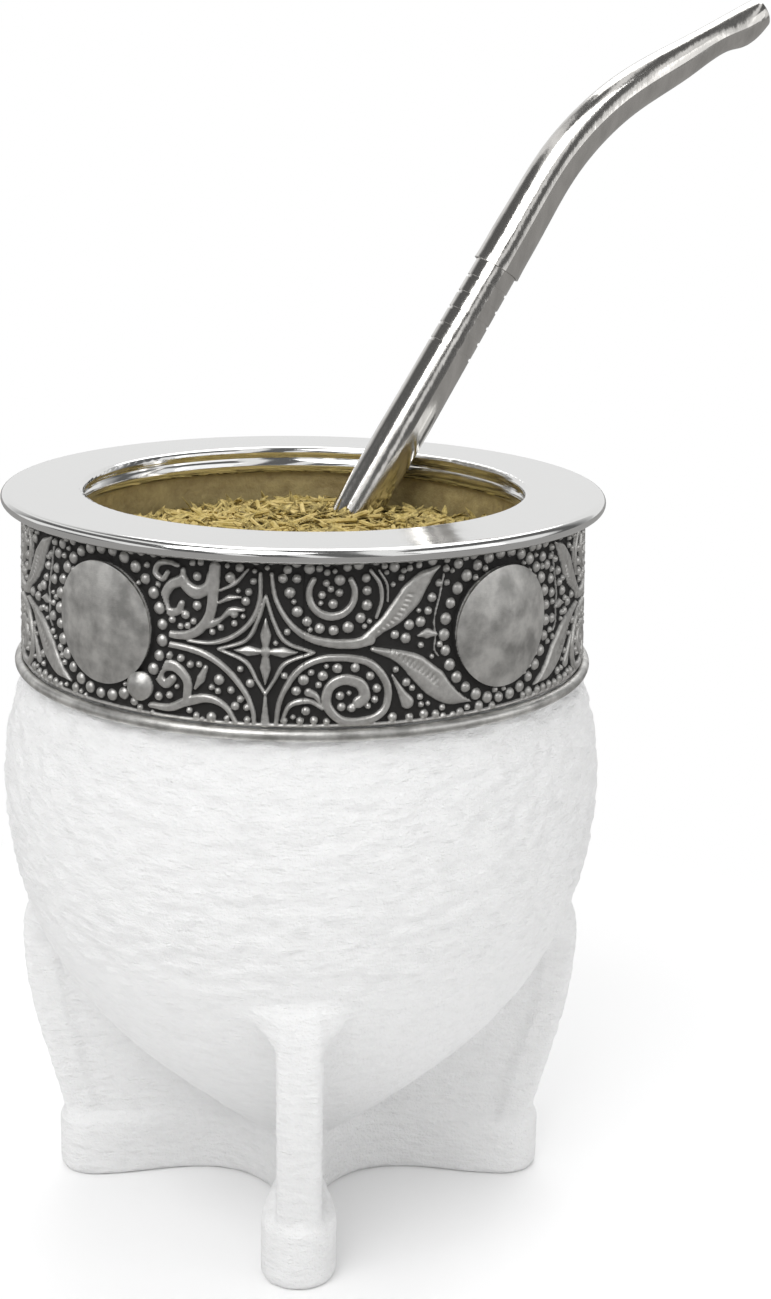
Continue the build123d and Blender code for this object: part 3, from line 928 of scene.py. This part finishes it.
class MATE_OT_yerba(bpy.types.Operator):
    """Heap the gourd with flakes of leaf and cut stalks over a core"""

    bl_idname = "mate.yerba"
    bl_label = "Yerba"

    def execute(self, context):
        look = context.scene.mate_yerba
        core = self.core()
        packed = leaf_finish("yerba_core", (0.05, 0.036, 0.010), (0.20, 0.15, 0.045), 1.2)
        settle(core, "yerba_core", packed, "dry_leaf", "yerba")
        draw = np.random.default_rng(5)
        flake = np.array([[-1, 0, 0], [-0.35, -0.55, 0.12], [0.45, -0.45, 0.1], [1, 0.05, 0],
                          [0.3, 0.5, 0.12], [-0.5, 0.4, 0.1], [0, 0, -0.15]])
        rim = [(0, 1, 6), (1, 2, 6), (2, 3, 6), (3, 4, 6), (4, 5, 6), (5, 0, 6)]
        lid = np.vstack([flake, flake + [0, 0, 0.12]])
        faces = [(b, a, c) for a, b, c in rim] + [(a + 7, b + 7, c + 7) for a, b, c in rim]
        for a in range(6):
            b = (a + 1) % 6
            faces += [(a, b, b + 7), (a, b + 7, a + 7)]
        x, y = heap_spots(draw, look.flakes, 34.4 * MM)
        count = len(x)
        lift = draw.uniform(-0.3, 1.1, count) * MM
        spots = np.stack([x, y, yerba_level(x, y) + lift], -1)
        long = draw.uniform(0.9, 3.1, count) * MM
        wide = long * draw.uniform(0.3, 0.7, count)
        sizes = np.stack([long, wide, np.full(count, 0.7 * MM)], -1)
        leaf = scatter("leaf_flakes", lid, faces, spots, sizes, turns_of(draw, count, 0.38))
        loose = leaf_finish("leaf_flakes", (0.13, 0.09, 0.022), (0.66, 0.53, 0.20), 0.8)
        settle(leaf, "leaf_flakes", loose, "dry_leaf")
        ring = [(cos(turn), sin(turn)) for turn in np.arange(6) * pi / 3]
        rod = np.array([(end, a, b) for end in (-1, 1) for a, b in ring])
        sides = [(k, (k + 1) % 6, (k + 1) % 6 + 6, k + 6) for k in range(6)]
        caps = [(5, 4, 1, 0), (4, 3, 2, 1), (6, 7, 10, 11), (7, 8, 9, 10)]
        x, y = heap_spots(draw, look.stalks, 33.5 * MM)
        count = len(x)
        lift = draw.uniform(0.0, 1.3, count) * MM
        spots = np.stack([x, y, yerba_level(x, y) + lift], -1)
        thick = draw.uniform(0.2, 0.52, count) * MM
        sizes = np.stack([draw.uniform(1.2, 4.2, count) * MM, thick, thick * 0.8], -1)
        stalk = scatter("cut_stalks", rod, sides + caps, spots, sizes, turns_of(draw, count, 0.16))
        pale = leaf_finish("cut_stalks", plain(look.leaf), plain(look.pale), 0.35)
        settle(stalk, "cut_stalks", pale, "dry_leaf")
        return {"FINISHED"}

    def core(self):
        """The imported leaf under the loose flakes: a closed plug with an uneven top."""
        deselect()
        bpy.ops.mesh.primitive_cylinder_add(
            vertices=120, radius=CORE_RADIUS, depth=CORE_DEPTH, end_fill_type="NGON",
            location=(0, 0, YERBA_HIGH[2] - 8 * MM),
        )
        core = bpy.context.view_layer.objects.active
        bpy.ops.object.transform_apply(location=True)
        remesh = core.modifiers.new("voxels", "REMESH")
        remesh.mode = "VOXEL"
        remesh.voxel_size = CORE_VOXEL
        apply_all(core)
        points = coordinates(core)
        top = points[:, 2] > YERBA_HIGH[2] - 3.5 * MM
        points[top, 2] = yerba_level(points[top, 0], points[top, 1]) - 0.3 * MM
        set_coordinates(core, points)
        bpy.ops.object.shade_smooth()
        return core


# ---- stage ----

class MATE_OT_stage(bpy.types.Operator):
    """Lay the floor, hang the lights and set the camera"""

    bl_idname = "mate.stage"
    bl_label = "Stage"

    def execute(self, context):
        self.floor()
        self.world(context.scene)
        self.lamps()
        self.camera(context.scene)
        context.scene.view_settings.view_transform = "Standard"
        return {"FINISHED"}

    def floor(self):
        """A pale floor that keeps the shadow, turns white far off, and looks grey in mirrors."""
        deselect()
        bpy.ops.mesh.primitive_plane_add(size=6.0, location=(0, 0, 0))
        floor = bpy.context.view_layer.objects.active
        floor.name = "floor"
        shade = Shade("floor")
        shade.set(Base_Color=(0.93, 0.93, 0.93), Roughness=0.9, Specular_IOR_Level=0.0)
        tree = shade.tree
        x, y, z = shade.split(shade.place())
        far = ((x * x + y * y) ** 0.5).between(60.0, 170.0)
        path = tree.nodes.new("ShaderNodeLightPath")
        seen = Wire(tree, path.outputs["Is Camera Ray"])
        glow = tree.nodes.new("ShaderNodeEmission")
        blend = tree.nodes.new("ShaderNodeMixShader")
        glossy = Wire(tree, path.outputs["Is Glossy Ray"])
        glow.inputs["Strength"].default_value = 1.0
        tint = shade.mix(seen, (0.34, 0.335, 0.33), (1.0, 1.0, 1.0))
        tree.links.new(tint.socket, glow.inputs["Color"])
        tree.links.new((far * seen + glossy).clamp().socket, blend.inputs[0])
        tree.links.new(shade.shader.outputs[0], blend.inputs[1])
        tree.links.new(glow.outputs[0], blend.inputs[2])
        tree.links.new(blend.outputs[0], tree.nodes["Material Output"].inputs["Surface"])
        floor.data.materials.append(shade.material)

    def world(self, scene):
        """White to the camera, a soft grey room to the light, and bright and dark stripes to mirrors."""
        world = bpy.data.worlds.new("room")
        world.use_nodes = True
        scene.world = world
        tree = world.node_tree
        ground = tree.nodes["Background"]
        ground.inputs["Color"].default_value = (1, 1, 1, 1)
        path = tree.nodes.new("ShaderNodeLightPath")
        seen = Wire(tree, path.outputs["Is Camera Ray"])
        spot = Shade.node(tree, "ShaderNodeTexCoord", {}, (), "Generated")
        parts = tree.nodes.new("ShaderNodeSeparateXYZ")
        tree.links.new(spot.socket, parts.inputs[0])
        x, back, up = (Wire(tree, output) for output in parts.outputs)
        glossy = Wire(tree, path.outputs["Is Glossy Ray"])
        room = 0.47 + up.between(-0.1, 0.9) * 0.25
        stripes = (x * 13.0 + up * 4.0).maths("SINE").between(0.1, 0.6)
        behind = back.between(0.5, 0.85)
        mirror = 0.12 + stripes * (1 - behind) * 0.75 + behind * 0.72
        strength = seen + (1 - seen) * (glossy * mirror + (1 - glossy) * room)
        tree.links.new(strength.socket, ground.inputs["Strength"])

    def lamps(self):
        """A soft key lamp at the front left, a fill at the front right and a lamp above behind."""
        for name, spot, size, watts in (
            ("key", (-0.35, -0.55, 0.85), 0.7, 4.8),
            ("fill", (0.75, -0.45, 0.45), 0.6, 1.1),
            ("top", (0.1, 0.5, 0.9), 0.8, 3.8),
        ):
            data = bpy.data.lights.new(name, "AREA")
            data.size = size
            data.energy = watts
            lamp = bpy.data.objects.new(name, data)
            lamp.location = spot
            lamp.rotation_euler = (Vector((0, 0, 0.07)) - Vector(spot)).to_track_quat("-Z", "Y").to_euler()
            bpy.context.scene.collection.objects.link(lamp)

    def camera(self, scene):
        """A camera a little above the rim, looking down at the middle of the gourd."""
        data = bpy.data.cameras.new("camera")
        data.sensor_width = 36
        data.lens = 56.8
        camera = bpy.data.objects.new("camera", data)
        turned, down, rolled = 0.0414, 0.2685, 0.0194
        ahead = Vector((sin(turned) * cos(down), cos(turned) * cos(down), -sin(down)))
        level = ahead.cross(Vector((0, 0, 1))).normalized()
        above = level.cross(ahead)
        right = level * cos(rolled) + above * sin(rolled)
        upward = above * cos(rolled) - level * sin(rolled)
        camera.matrix_world = Matrix.Translation((0, -0.3234, 0.1818)) @ Matrix(
            (right, upward, -ahead)
        ).transposed().to_4x4()
        scene.collection.objects.link(camera)
        scene.camera = camera


# ---- panel and registration ----

class MATE_PT_panel(bpy.types.Panel):
    """The mate gourd's sizes, colours and steps"""

    bl_label = "Mate gourd"
    bl_idname = "MATE_PT_panel"
    bl_space_type = "VIEW_3D"
    bl_region_type = "UI"
    bl_category = "Mate gourd"

    def draw(self, context):
        for name, group in SETTINGS.items():
            box = self.layout.box()
            for key in group.__annotations__:
                box.prop(getattr(context.scene, name), key)
        for step in STEPS:
            self.layout.operator(step.bl_idname)


STEPS = (MATE_OT_leather, MATE_OT_band, MATE_OT_metal, MATE_OT_yerba, MATE_OT_stage)
CLASSES = (*SETTINGS.values(), *STEPS, MATE_PT_panel)


def register():
    """Register every class and hang the settings on the scene."""
    for kind in CLASSES:
        bpy.utils.register_class(kind)
    for name, group in SETTINGS.items():
        setattr(bpy.types.Scene, name, PointerProperty(type=group))


def unregister():
    """Undo register."""
    for name in SETTINGS:
        delattr(bpy.types.Scene, name)
    for kind in reversed(CLASSES):
        bpy.utils.unregister_class(kind)


def main():
    """Register and make every piece."""
    register()
    bpy.ops.mate.leather()
    bpy.ops.mate.band()
    bpy.ops.mate.metal()
    bpy.ops.mate.yerba()
    bpy.ops.mate.stage()


if __name__ == "__main__":
    main()
